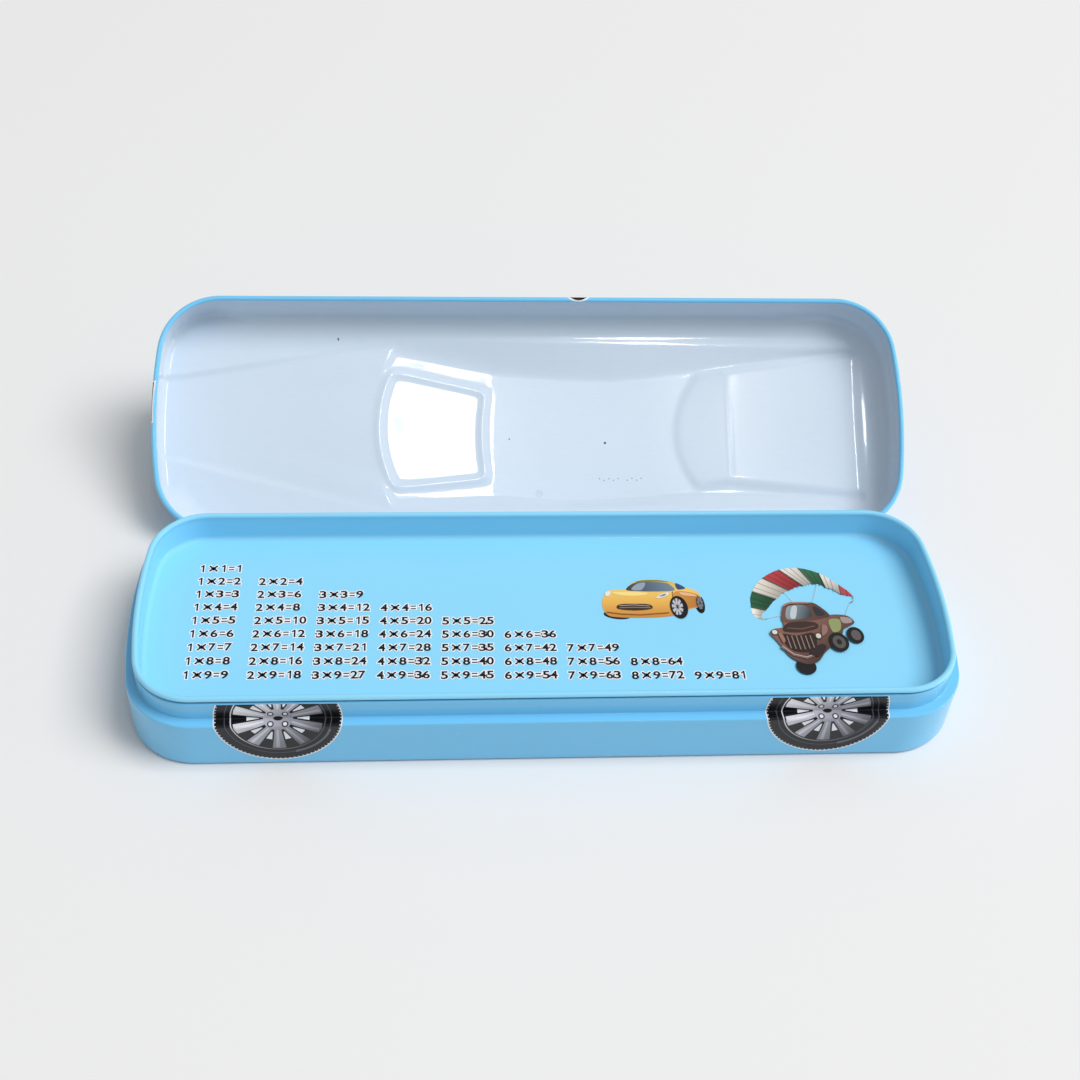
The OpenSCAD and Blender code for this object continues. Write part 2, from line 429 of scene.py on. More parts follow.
def rgba(colour):
    return (*linear(colour), 1)


def specks(f, scale, size, seed_shift):
    """1 in a few tiny round specks, 0 elsewhere."""
    moved = f.node("ShaderNodeMapping", {"Vector": f.place, "Location": seed_shift}).outputs[0]
    cells = f.node("ShaderNodeTexVoronoi", {"Vector": moved, "Scale": scale, "Randomness": 1.0})
    pick = f.node("ShaderNodeSeparateColor", {0: cells.outputs["Color"]})
    return (Value(f, cells.outputs["Distance"]) < size) * (Value(f, pick.outputs[0]) > 0.93)


def enamel(name, colour, deep):
    """Printed and varnished tinplate: a faintly uneven colour under a glossy, slightly rippled varnish."""
    f = Finish(name, Roughness=0.3, IOR=1.45, Coat_Weight=0.3, Coat_Roughness=0.06, Coat_IOR=1.45)
    cloud = f.noise(38, 3)
    grain = f.noise(2600, 2)
    mottle = (cloud - 0.5) * 0.35 + (grain - 0.5) * 0.18 + 0.5
    f.body = f.mix(mottle, rgba(deep), rgba(colour))
    scuff = f.noise(420, 4, 0.7, (1, 6, 6))
    f.feed("Roughness", 0.24 + scuff * 0.05)
    f.bump(f.noise(900, 2) * 0.5 + f.noise(240, 1) * 0.5, 0.000005)
    f.feed("Base Color", f.body)
    return f


def plan_of(f):
    """The closed lid's own (x, y) in mm, run on down its sides, wherever the lid now is."""
    at = f.node("ShaderNodeAttribute", attribute_name="plan").outputs["Vector"]
    xyz = f.node("ShaderNodeSeparateXYZ", {0: at}).outputs
    return Value(f, xyz[0]), Value(f, xyz[1])


def dot(x, y, cx, cy, r):
    """1 within r of (cx, cy)."""
    return (x - cx) * (x - cx) + (y - cy) * (y - cy) < r * r


def panel(x, y, corners):
    """How far a place is outside a flat panel, whose corners run anticlockwise and bulge outward."""
    worst = None
    for (ax, ay), (bx, by) in zip(corners, corners[1:] + corners[:1]):
        long = math.hypot(bx - ax, by - ay)
        nx, ny = (by - ay) / long, (ax - bx) / long
        side = x * nx + y * ny - (ax * nx + ay * ny)
        worst = side if worst is None else side.math("MAXIMUM", worst, side)
    return worst


def lid_enamel():
    """The lid's blue with a plain car top printed on it: windows, lamps, air intake and a black disc."""
    f = enamel("lid_blue_enamel", (128, 211, 253), (118, 201, 246))
    x, y = plan_of(f)
    glass = f.mix(f.noise(55, 1), rgba((34, 44, 58)), rgba((78, 96, 116)))
    windows = (
        [(-37.6, -13.2), (-13.6, -8.8), (-14.2, 14.6), (-37.8, 17.0), (-40.2, 8), (-40.2, -4)],
        [(-1, -19.6), (8, -22.4), (34, -21.8), (40, -16.4), (26, -14.0), (2, -15.2)],
        [(-2, 22.0), (18, 22.6), (38, 21.4), (33, 23.9), (3, 24.6)],
        [(44.5, -12), (55.2, -12.6), (55.2, 14.0), (44.5, 15.4), (42.2, 8), (42.2, -5)])
    colour = f.body
    for corners in windows:
        away = panel(x, y, corners)
        colour = f.mix(away < 0.5, colour, rgba((226, 240, 250)))
        colour = f.mix(away < 0.15, colour, rgba((20, 24, 30)))
        colour = f.mix(away < -0.25, colour, glass)
    lamps = (
        ([(-108, -19), (-102, -19.5), (-98, -15.5), (-103, -14)], (238, 242, 236)),
        ([(-108, 14), (-103, 10), (-98, 11.5), (-102, 16)], (238, 242, 236)),
        ([(101, -20), (108, -19), (108, -12), (102, -13)], (206, 40, 38)),
        ([(102, 11), (108, 11), (108, 18), (101, 19)], (206, 40, 38)))
    for corners, shade in lamps:
        away = panel(x, y, corners)
        colour = f.mix(away < 0.4, colour, rgba((24, 28, 34)))
        colour = f.mix(away < 0, colour, rgba(shade))
    intake = panel(x, y, [(-111.9, -8.8), (-104.5, -8), (-104.5, 2), (-111.9, 2.8)])
    slats = y.math("PINGPONG", y, 1.4)
    colour = f.mix(intake < 0.45, colour, rgba((240, 244, 248)))
    colour = f.mix(intake < 0, colour, f.mix(slats < 0.45, rgba((18, 20, 24)), rgba((64, 68, 74))))
    colour = f.mix(dot(x, y, 13.0, -39.6, 4.0), colour, rgba((244, 247, 250)))
    colour = f.mix(dot(x, y, 13.0, -39.6, 3.5), colour, rgba((16, 17, 20)))
    chips = specks(f, 55, 0.02, (0.6, 0.2, 0.4)) * (size_of(y) > 40.5)
    f.feed("Base Color", f.mix(chips, colour, rgba((214, 220, 226))))
    return f.material


def size_of(value):
    """A value without its sign."""
    return value.math("ABSOLUTE", value)


def lacquer():
    """Pale grey lacquer inside the sheets, with pinholes, dust, stamped flecks and a dulled crease."""
    f = Finish("grey_lacquer", Roughness=0.2, IOR=1.5, Coat_Weight=0.7, Coat_Roughness=0.04, Coat_IOR=1.5)
    cloud = f.noise(30, 3)
    grain = f.noise(3200, 2)
    weave = f.noise(1500, 1, 0.5, (0.25, 1, 1))
    tone = (cloud - 0.5) * 0.4 + (grain - 0.5) * 0.25 + (weave - 0.5) * 0.3 + 0.5
    body = f.mix(tone, rgba((209, 223, 237)), rgba((220, 235, 249)))
    x, y = plan_of(f)
    dark = specks(f, 75, 0.012, (0.3, 0.1, 0.7)) * 0.8
    for cx, cy, r in ((21.0, 4.9, 0.34), (-5.9, 3.7, 0.2), (-53.5, -24.6, 0.22), (-53.4, -24.2, 0.2)):
        dark = dark + dot(x, y, cx, cy, r)
    for k in range(9):
        cx = 19.2 + (k + (k > 4)) * 1.3
        dark = dark + dot(x, y, cx, 15.2 + 0.5 * (k % 2), 0.2) * 0.55
    dark = dark + dot(x, y, 2.2, 19.4, 1.1) * 0.1
    f.feed("Base Color", f.mix(dark, body, rgba((44, 48, 56))))
    from_crease = size_of(x - boot_start - 0.3)
    dulled = (1 - from_crease * 0.65) * (from_crease < 1.5) * (size_of(y - 1) < 17.5)
    f.feed("Roughness", 0.16 + f.noise(500, 4, 0.7) * 0.1 + dulled * 0.4)
    f.feed("Coat Weight", 0.7 - dulled * 0.65)
    f.bump(f.noise(700, 2) * 0.5 + f.noise(160, 1) * 0.5, 0.000012)
    return f.material


def steel():
    """Tinned steel of the hinges, with a fine drawn grain along the pins."""
    f = Finish("tinned_steel", Metallic=1.0)
    grain = f.noise(3000, 3, 0.6, (0.05, 1, 1))
    f.feed("Base Color", f.mix(f.noise(400, 3), rgba((176, 180, 186)), rgba((208, 210, 214))))
    f.feed("Roughness", 0.26 + grain * 0.2)
    f.bump(grain, 0.000015)
    return f.material


def ink():
    """Printing ink under the same varnish. Its colour is stored on the print itself."""
    f = Finish("printing_ink", Roughness=0.3, IOR=1.4, Coat_Weight=0.1, Coat_Roughness=0.06, Coat_IOR=1.4)
    colour = f.node("ShaderNodeVertexColor", layer_name="ink").outputs["Color"]
    f.feed("Base Color", f.mix((f.noise(2600, 2) - 0.3) * 0.1, colour, rgba((90, 96, 104))))
    f.feed("Roughness", 0.24 + f.noise(420, 4, 0.7) * 0.12)
    f.bump(f.noise(900, 2) * 0.5 + f.noise(240, 1) * 0.5, 0.000012)
    return f.material


BLUE = enamel("blue_enamel", (123, 206, 250), (113, 196, 241)).material
LID_BLUE = lid_enamel()
TRAY_BLUE = enamel("tray_enamel", (151, 225, 255), (140, 217, 254)).material
LACQUER = lacquer()
STEEL = steel()
INK = ink()


# ------------------------------------------------------------------ pressed parts
def ripple(points, z0, z1, amount):
    """Small drawing ripples on the neck's round corners, strongest near the ledge."""
    turned = np.arctan2(-INWARD[:, 1], -INWARD[:, 0])
    corner = np.exp(-((abs(abs(turned) - math.pi / 4) % (math.pi / 2)) / 0.45) ** 4)
    wave = np.sin(turned * 46) * 0.6 + np.sin(turned * 71 + 1.3) * 0.4
    z = points[:, 2]
    strength = amount * step(z0, z0 + 0.8, z) * (1 - step(z0 + 1.2, z1, z))
    points[:, :2] += INWARD * (wave * corner * strength)[:, None]
    return points


def base_outside():
    """The base's outside in section, from its foot up to the rolled edge, as (inset, z)."""
    side = [(0, z) for z in np.linspace(floor_round, ledge_z - ledge_round, 8)[1:-1]]
    neck = [(neck_inset, z) for z in np.linspace(ledge_z + ledge_fillet, hem_top_z - hem_round, 14)[1:-1]]
    return (arc(floor_round, floor_round, floor_round, 270, 180, 8)
            + side
            + arc(ledge_round, ledge_z - ledge_round, ledge_round, 180, 90, 6)
            + arc(neck_inset - ledge_fillet, ledge_z + ledge_fillet, ledge_fillet, 270, 360, 5)
            + neck
            + arc(neck_inset + hem_round, hem_top_z - hem_round, hem_round, 180, 90, 4)
            + arc(neck_inset + hem_w - hem_round, hem_top_z - hem_round, hem_round, 90, 0, 4))


def make_base():
    s = Sheet()
    out = base_outside()
    inner = ([(neck_inset + hem_w, hem_top_z - hem_h), (neck_inset + sheet_t, hem_top_z - hem_h),
              (neck_inset + sheet_t, ledge_z - sheet_t)]
             + arc(ledge_round, ledge_z - ledge_round, ledge_round - sheet_t, 90, 180, 2)
             + arc(floor_round, floor_round, floor_round - sheet_t, 180, 270, 6))

    def shape(inset, z):
        points = ring(inset, z)
        return ripple(points, ledge_z, neck_top_z, 0.25) if inset > neck_inset - 0.01 else points

    rows = s.rings(out + inner, [0] * (len(out) + 1) + [1] * (len(inner) - 2), shape)
    s.cap(rows[0], s.points[0], 0, up=False)
    s.cap(rows[-1], s.points[len(out) + len(inner) - 1], 1, up=True)
    piece = s.make("base_body", [BLUE, LACQUER])
    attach(piece, "base")
    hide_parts("base_shell")


def make_tray():
    s = Sheet()
    bead_in = neck_inset + bead_r
    outer = tray_wall_inset - sheet_t
    start = 360 - math.degrees(math.acos((outer - bead_in) / bead_r))
    end = -math.degrees(math.acos((tray_wall_inset - bead_in) / bead_r))
    mid = tray_wall_inset + tray_round
    under = arc(mid, tray_floor_z + tray_round, tray_round + sheet_t, 270, 180, 8)
    bead = arc(bead_in, bead_z, bead_r, start, end, 26)
    inside = ([(tray_wall_inset, z) for z in np.linspace(bead[-1][1], tray_floor_z + tray_round, 8)[1:-1]]
              + arc(mid, tray_floor_z + tray_round, tray_round, 180, 270, 10))
    section = under + bead + inside
    rows = s.rings(section, [1] * len(under) + [0] * (len(section) - len(under)))
    s.cap(rows[0], s.points[0], 1, up=False)
    s.cap(rows[-1], s.points[len(section) - 1], 0, up=True)
    piece = s.make("tray_body", [TRAY_BLUE, LACQUER])
    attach(piece, "tray")
    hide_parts("lift_out_tray")


def fuller(lean):
    """How far the nose's tighter corner stands outside the lid's round one, at that lean of its wall."""
    turn = abs(math.pi / 4 - lean)
    flat = lid_round / math.cos(math.pi / 4 - turn)
    near = (lid_round - nose_round) * math.sqrt(2) * math.cos(turn)
    reach = nose_round ** 2 - 2 * ((lid_round - nose_round) * math.sin(turn)) ** 2
    return min(flat, near + math.sqrt(reach)) - lid_round if reach > 0 else flat - lid_round


def lid_ring(inset, depth, offset=0.0):
    """A ring of the closed lid, depth above its rim, pushed out where the emboss is.
    offset moves it in from the outside along the wall's own direction."""
    past_wall = depth - wall_top
    if past_wall <= 0:
        return ring(inset + offset, lid_rim_z + depth)
    lean = math.atan2(past_wall, lid_round - inset) if inset < lid_round else math.pi / 2
    points = ring(inset, 0)
    out = embossed(points[:, 0], points[:, 1]) * step(0.2, 0.75, lean) - offset
    out = out + fuller(lean) * (1 - step(-94, -78, EDGE[:, 0])) * (1 - step(17, 26, EDGE[:, 1]))
    points[:, :2] -= INWARD * (math.cos(lean) * out)[:, None]
    points[:, 2] = lid_rim_z + depth + math.sin(lean) * out
    return points


def lid_top(offset):
    """Shapes a flat grid into the embossed top, moved in from the outside by offset."""
    def shape(points):
        points = points.copy()
        points[:, 2] = lid_rim_z + lid_depth + embossed(points[:, 0], points[:, 1]) - offset
        return points
    return shape


def make_lid():
    s = Sheet()
    fillet = arc(lid_round, wall_top, lid_round, 90, 180, 20)
    wall = [(0, d) for d in np.linspace(wall_top, curl_r, 7)[1:-1]]
    curl = arc(curl_r, curl_r, curl_r, 180, 180 + curl_deg, 18)
    outside = [(i, d, 0.0) for i, d in fillet + wall]
    rolled = [(i, d, 0.0) for i, d in curl]
    inside = [(0, d, sheet_t) for d in np.linspace(1.3, wall_top, 5)]
    inside += [(i, d, sheet_t) for i, d in fillet[::-1][1:]]
    section = outside + rolled + inside
    kinds = [0] * (len(outside) + len(rolled)) + [1] * (len(inside) - 1)
    rows = s.rings(section, kinds, lid_ring)
    flat_edge = ring(lid_round, 0)[:, :2]
    for k, (inset, depth, _) in enumerate(section):
        lean = min(math.atan2(lid_round - inset, depth - wall_top), math.pi / 2)
        run = lid_round * lean + max(wall_top - depth, 0)
        if 0 <= k - len(outside) < len(rolled):
            turned = math.radians(curl_deg) * (k - len(outside)) / (len(rolled) - 1)
            run = lid_round * math.pi / 2 + wall_top + curl_r * (turned - 1)
        s.plans[k] = flat_edge - INWARD * run
    s.cap(rows[0], s.points[0], 0, up=True, shape=lid_top(0))
    s.cap(rows[-1], s.points[len(section) - 1], 1, up=False, shape=lid_top(sheet_t))
    s.faces = [f[:, ::-1] if k < len(section) - 1 else f for k, f in enumerate(s.faces)]
    piece = s.make("lid_body", [LID_BLUE, LACQUER], opened)
    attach(piece, "lid")
    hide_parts("lid_shell")


make_base()
make_tray()
make_lid()

for name, node in frame["nodes"].items():
    if name not in ("base_shell", "lift_out_tray", "lid_shell"):
        node.data.materials.clear()
        node.data.materials.append(STEEL)


# ------------------------------------------------------------------ prints
LIFT = 0.025                                  # a print's height over the enamel
LAYER = 0.012                                 # one layer of ink's height over the last


def measured(shape):
    """Vertices and triangles of a curve or text object, in mm, facing up."""
    mesh = shape.to_mesh()
    mesh.calc_loop_triangles()
    at = np.empty(len(mesh.vertices) * 3)
    mesh.vertices.foreach_get("co", at)
    at = at.reshape(-1, 3)[:, :2]
    tri = np.array([t.vertices[:] for t in mesh.loop_triangles], int).reshape(-1, 3)
    a, b, c = at[tri[:, 0]], at[tri[:, 1]], at[tri[:, 2]]
    down = (b[:, 0] - a[:, 0]) * (c[:, 1] - a[:, 1]) - (b[:, 1] - a[:, 1]) * (c[:, 0] - a[:, 0]) < 0
    tri[down] = tri[down][:, ::-1]
    shape.to_mesh_clear()
    data = shape.data
    bpy.data.objects.remove(shape)
    bpy.data.curves.remove(data)
    return at, tri


def filled(*loops):
    """The area inside closed loops, with the loops inside them left open."""
    curve = bpy.data.curves.new("loops", "CURVE")
    curve.dimensions, curve.fill_mode = "2D", "BOTH"
    for loop in loops:
        loop = np.array(loop, float)
        spline = curve.splines.new("POLY")
        spline.points.add(len(loop) - 1)
        spline.points.foreach_set("co", np.c_[loop, np.zeros(len(loop)), np.ones(len(loop))].ravel())
        spline.use_cyclic_u = True
    return measured(bpy.data.objects.new("loops", curve))


def digit(character, height, grow):
    """One digit centred on the origin, with grow added all round its strokes."""
    text = bpy.data.curves.new("digits", "FONT")
    text.body, text.size, text.offset = character, height / 0.73, grow
    text.resolution_u = 4
    at, tri = measured(bpy.data.objects.new("digits", text))
    return at - (at.min(0) + at.max(0)) / 2, tri


def oval(cx, cy, rx, ry=None, turn=0.0, a0=0.0, a1=360.0, n=40):
    """Points round an oval, or round the part of it from angle a0 to a1."""
    a = np.radians(np.linspace(a0, a1, n, endpoint=a1 - a0 < 360))
    x, y = rx * np.cos(a), (rx if ry is None else ry) * np.sin(a)
    c, s = math.cos(math.radians(turn)), math.sin(math.radians(turn))
    return np.c_[cx + x * c - y * s, cy + x * s + y * c]


def smooth(*corners, n=8):
    """A closed loop that runs smoothly through its corners."""
    p = np.array(corners, float)
    a, b, c, d = np.roll(p, 1, 0), p, np.roll(p, -1, 0), np.roll(p, -2, 0)
    t = np.linspace(0, 1, n, endpoint=False)[None, :, None]
    a, b, c, d = [q[:, None, :] for q in (a, b, c, d)]
    square, cube = 2 * a - 5 * b + 4 * c - d, 3 * b - a - 3 * c + d
    out = 0.5 * (2 * b + (c - a) * t + square * t ** 2 + cube * t ** 3)
    return out.reshape(-1, 2)


def stroke(points, width, end_width=None):
    """The outline of a line of the given width along the points."""
    p = np.array(points, float)
    way = np.gradient(p, axis=0)
    side = np.c_[-way[:, 1], way[:, 0]] / np.hypot(*way.T)[:, None]
    half = np.linspace(width, width if end_width is None else end_width, len(p))[:, None] / 2
    return np.vstack([p + side * half, (p - side * half)[::-1]])


def grown(loop, by):
    """A closed loop with every side moved outward by that much."""
    p = np.array(loop, float)
    turn = np.sign((p[:, 0] * np.roll(p[:, 1], -1) - np.roll(p[:, 0], -1) * p[:, 1]).sum())
    way = np.roll(p, -1, 0) - p
    after = np.c_[way[:, 1], -way[:, 0]] / np.hypot(*way.T)[:, None] * turn
    before = np.roll(after, 1, 0)
    return p + by * (before + after) / np.maximum(1 + (before * after).sum(1), 0.4)[:, None]


def fade(*stops):
    """A colour that changes along a direction: (x, y, colour) at each of its stops."""
    places = np.array([s[:2] for s in stops], float)
    colours = np.array([linear(s[2]) for s in stops])
    way = places[-1] - places[0]
    along = (places - places[0]) @ way / (way @ way)
    return lambda x, y: np.stack([np.interp(((np.c_[x, y] - places[0]) @ way) / (way @ way), along, c)
                                  for c in colours.T], 1)


class Print:
    """Flat artwork: coloured areas, one over another in the order they are added."""

    def __init__(self):
        self.mesh = bmesh.new()
        self.area_of = self.mesh.faces.layers.int.new("area")
        self.colours, self.layer = [], 0

    def area(self, shape, colour, layer=None):
        at, tri = shape
        self.layer = self.layer + 1 if layer is None else layer
        made = [self.mesh.verts.new((x, y, self.layer)) for x, y in at]
        for t in tri:
            try:
                face = self.mesh.faces.new([made[k] for k in t])
            except ValueError:
                continue
            face[self.area_of] = len(self.colours)
        self.colours.append(colour)

    def cut(self, axis, positions):
        normal = Vector((1, 0, 0)) if axis == 0 else Vector((0, 1, 0))
        for p in positions:
            everything = self.mesh.verts[:] + self.mesh.edges[:] + self.mesh.faces[:]
            bmesh.ops.bisect_plane(self.mesh, geom=everything, plane_co=normal * float(p), plane_no=normal)

    def drop(self, axis, limit):
        """Removes what lies beyond the limit."""
        self.cut(axis, [limit])
        gone = [f for f in self.mesh.faces if f.calc_center_median()[axis] > limit]
        bmesh.ops.delete(self.mesh, geom=gone, context="FACES")

    def make(self, name, body, slot, place, shade=None):
        mesh = bpy.data.meshes.new(name)
        self.mesh.to_mesh(mesh)
        self.mesh.free()
        at = np.empty(len(mesh.vertices) * 3)
        mesh.vertices.foreach_get("co", at)
        at = at.reshape(-1, 3)
        corner = np.empty(len(mesh.loops), int)
        mesh.loops.foreach_get("vertex_index", corner)
        area = np.empty(len(mesh.polygons), int)
        mesh.attributes["area"].data.foreach_get("value", area)
        sides = np.empty(len(mesh.polygons), int)
        mesh.polygons.foreach_get("loop_total", sides)
        area = np.repeat(area, sides)
        x, y = at[corner, 0], at[corner, 1]
        colour = np.ones((len(corner), 4))
        for k, value in enumerate(self.colours):
            mine = area == k
            colour[mine, :3] = value(x[mine], y[mine]) if callable(value) else linear(value)
        if shade is not None:
            colour[:, :3] *= shade(x, y)[:, None]
        mesh.color_attributes.new("ink", "FLOAT_COLOR", "CORNER").data.foreach_set("color", colour.ravel())
        mesh.vertices.foreach_set("co", (place(at[:, 0], at[:, 1], LIFT + LAYER * at[:, 2]) * MM).ravel())
        mesh.materials.append(INK)
        mesh.polygons.foreach_set("use_smooth", [True] * len(mesh.polygons))
        mesh.update()
        piece = put(name, mesh)
        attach(piece, body)


def on_tray(x, y, lift):
    return np.c_[x, y, tray_floor_z + lift]


def glyphs(grow):
    """Each character of the table as a flat shape centred on its cell, grown by that much."""
    high, bar, sign = 2.45, 0.48, 0.36
    one = [(0.02, -high / 2), (0.44, -high / 2), (0.44, high / 2), (0.1, high / 2), (-0.5, high / 2 - 0.5),
           (-0.5, high / 2 - 0.86), (0.02, high / 2 - 0.62)]
    made = {"1": filled(grown(one, grow))}
    cross = [filled(grown(stroke([(-1.02, -0.92 * s), (1.02, 0.92 * s)], bar), grow)) for s in (-1, 1)]
    made["×"] = together(cross)
    made["="] = together([filled(grown(stroke([(-0.68, y), (0.68, y)], sign), grow)) for y in (-0.43, 0.43)])
    for c in "023456789":
        at, tri = digit(c, high - 0.1, 0.085 + grow)
        made[c] = (at * ((1.74 + 2 * grow) / np.ptp(at[:, 0]), (high + 2 * grow) / np.ptp(at[:, 1])), tri)
    return made


def together(shapes):
    """Several flat shapes as one."""
    starts = np.cumsum([0] + [len(at) for at, _ in shapes[:-1]])
    return np.vstack([at for at, _ in shapes]), np.vstack([tri + k for (_, tri), k in zip(shapes, starts)])


def times_table():
    """Rows 1 to 9, each with its number times 1 up to times itself, in black with a white edge."""
    cells = (1.0, 3.75, 6.3, 8.3, 10.2, 12.1)
    white, black = (250, 252, 255), (16, 17, 22)
    placed = []
    for row in range(1, 10):
        for k in range(1, row + 1):
            x, y = -87.2 + 15.48 * (k - 1) - 0.15 * (row - 1), 18.4 - 4.33 * (row - 1) - 0.25 * (k - 1)
            placed += [(character, (x + cell, y)) for character, cell in zip(f"{k}×{row}={k * row}", cells)]
    behind = filled(oval(0, 0, 0.62, 0.95, n=16))
    work = Print()
    work.area(together([moved(behind, at) for character, at in placed if character in "04689"]), white)
    for grow, colour in ((0.25, white), (0.0, black)):
        shapes = glyphs(grow)
        work.area(together([moved(shapes[character], at) for character, at in placed]), colour)
    work.make("multiplication_table_print", "tray", "tray_enamel", on_tray)


def spread_round(motif, count, turn=0.0):
    """The motif repeated round the origin by Geometry Nodes: its points and faces, in mm."""
    at, tri = motif
    mesh = bpy.data.meshes.new("motif")
    mesh.from_pydata(np.c_[at, np.zeros(len(at))].tolist(), [], tri.tolist())
    piece = put("motif", mesh)
    tree = bpy.data.node_groups.new("spread_round", "GeometryNodeTree")
    face = tree.interface
    face.new_socket("Motif", in_out="INPUT", socket_type="NodeSocketGeometry")
    face.new_socket("Made", in_out="OUTPUT", socket_type="NodeSocketGeometry")
    sockets = {n: face.new_socket(n, in_out="INPUT", socket_type=t) for n, t in (
        ("Count", "NodeSocketInt"), ("Turn", "NodeSocketFloat"), ("Finish", "NodeSocketMaterial"))}

    def node(kind, inputs, **settings):
        made = tree.nodes.new(kind)
        for key, value in settings.items():
            setattr(made, key, value)
        for key, value in inputs.items():
            if isinstance(value, bpy.types.NodeSocket):
                tree.links.new(value, made.inputs[key])
            else:
                made.inputs[key].default_value = value
        return made

    given = node("NodeGroupInput", {}).outputs
    places = node("GeometryNodePoints", {"Count": given["Count"]}).outputs[0]
    share = node("ShaderNodeMath", {0: 2 * math.pi, 1: given["Count"]}, operation="DIVIDE").outputs[0]
    number = node("GeometryNodeInputIndex", {}).outputs[0]
    angle = node("ShaderNodeMath", {0: number, 1: share, 2: given["Turn"]},
                 operation="MULTIPLY_ADD").outputs[0]
    spin = node("ShaderNodeCombineXYZ", {"Z": angle}).outputs[0]
    turned = node("FunctionNodeEulerToRotation", {0: spin}).outputs[0]
    copies = node("GeometryNodeInstanceOnPoints", {"Points": places, "Instance": given["Motif"],
                                                   "Rotation": turned}).outputs[0]
    real = node("GeometryNodeRealizeInstances", {"Geometry": copies}).outputs[0]
    finished = node("GeometryNodeSetMaterial", {"Geometry": real, "Material": given["Finish"]}).outputs[0]
    node("NodeGroupOutput", {0: finished})
    modifier = piece.modifiers.new("spread", "NODES")
    modifier.node_group = tree
    modifier[sockets["Count"].identifier] = count
    modifier[sockets["Turn"].identifier] = math.radians(turn)
    modifier[sockets["Finish"].identifier] = INK
    ready = piece.evaluated_get(bpy.context.evaluated_depsgraph_get())
    result = bpy.data.meshes.new_from_object(ready)
    points = np.array([v.co[:2] for v in result.vertices])
    faces = np.array([p.vertices[:] for p in result.polygons])
    piece.modifiers.remove(modifier)
    for block, store in ((piece, bpy.data.objects), (mesh, bpy.data.meshes), (result, bpy.data.meshes),
                         (tree, bpy.data.node_groups)):
        store.remove(block)
    return points, faces


def moved(shape, centre):
    return shape[0] + centre, shape[1]


def moved_colour(colour, centre):
    """The colour for a shape that was moved: a fade moves along with it."""
    if not callable(colour):
        return colour
    return lambda x, y: colour(x - centre[0], y - centre[1])


def section_path():
    """The base's outside from its foot to under the hem, as (print height, inset, z, slope) points."""
    out = [p for p in base_outside() if p[1] > 0.05]
    out = [p for k, p in enumerate(out) if p[1] <= hem_top_z - 0.3 and (k == 0 or p != out[k - 1])]
    spots = np.array(out)
    way = np.gradient(spots, axis=0)
    normal = np.c_[-way[:, 1], way[:, 0]] / np.hypot(*way.T)[:, None]
    return spots[:, 1] + 0.92 * spots[:, 0], spots, normal


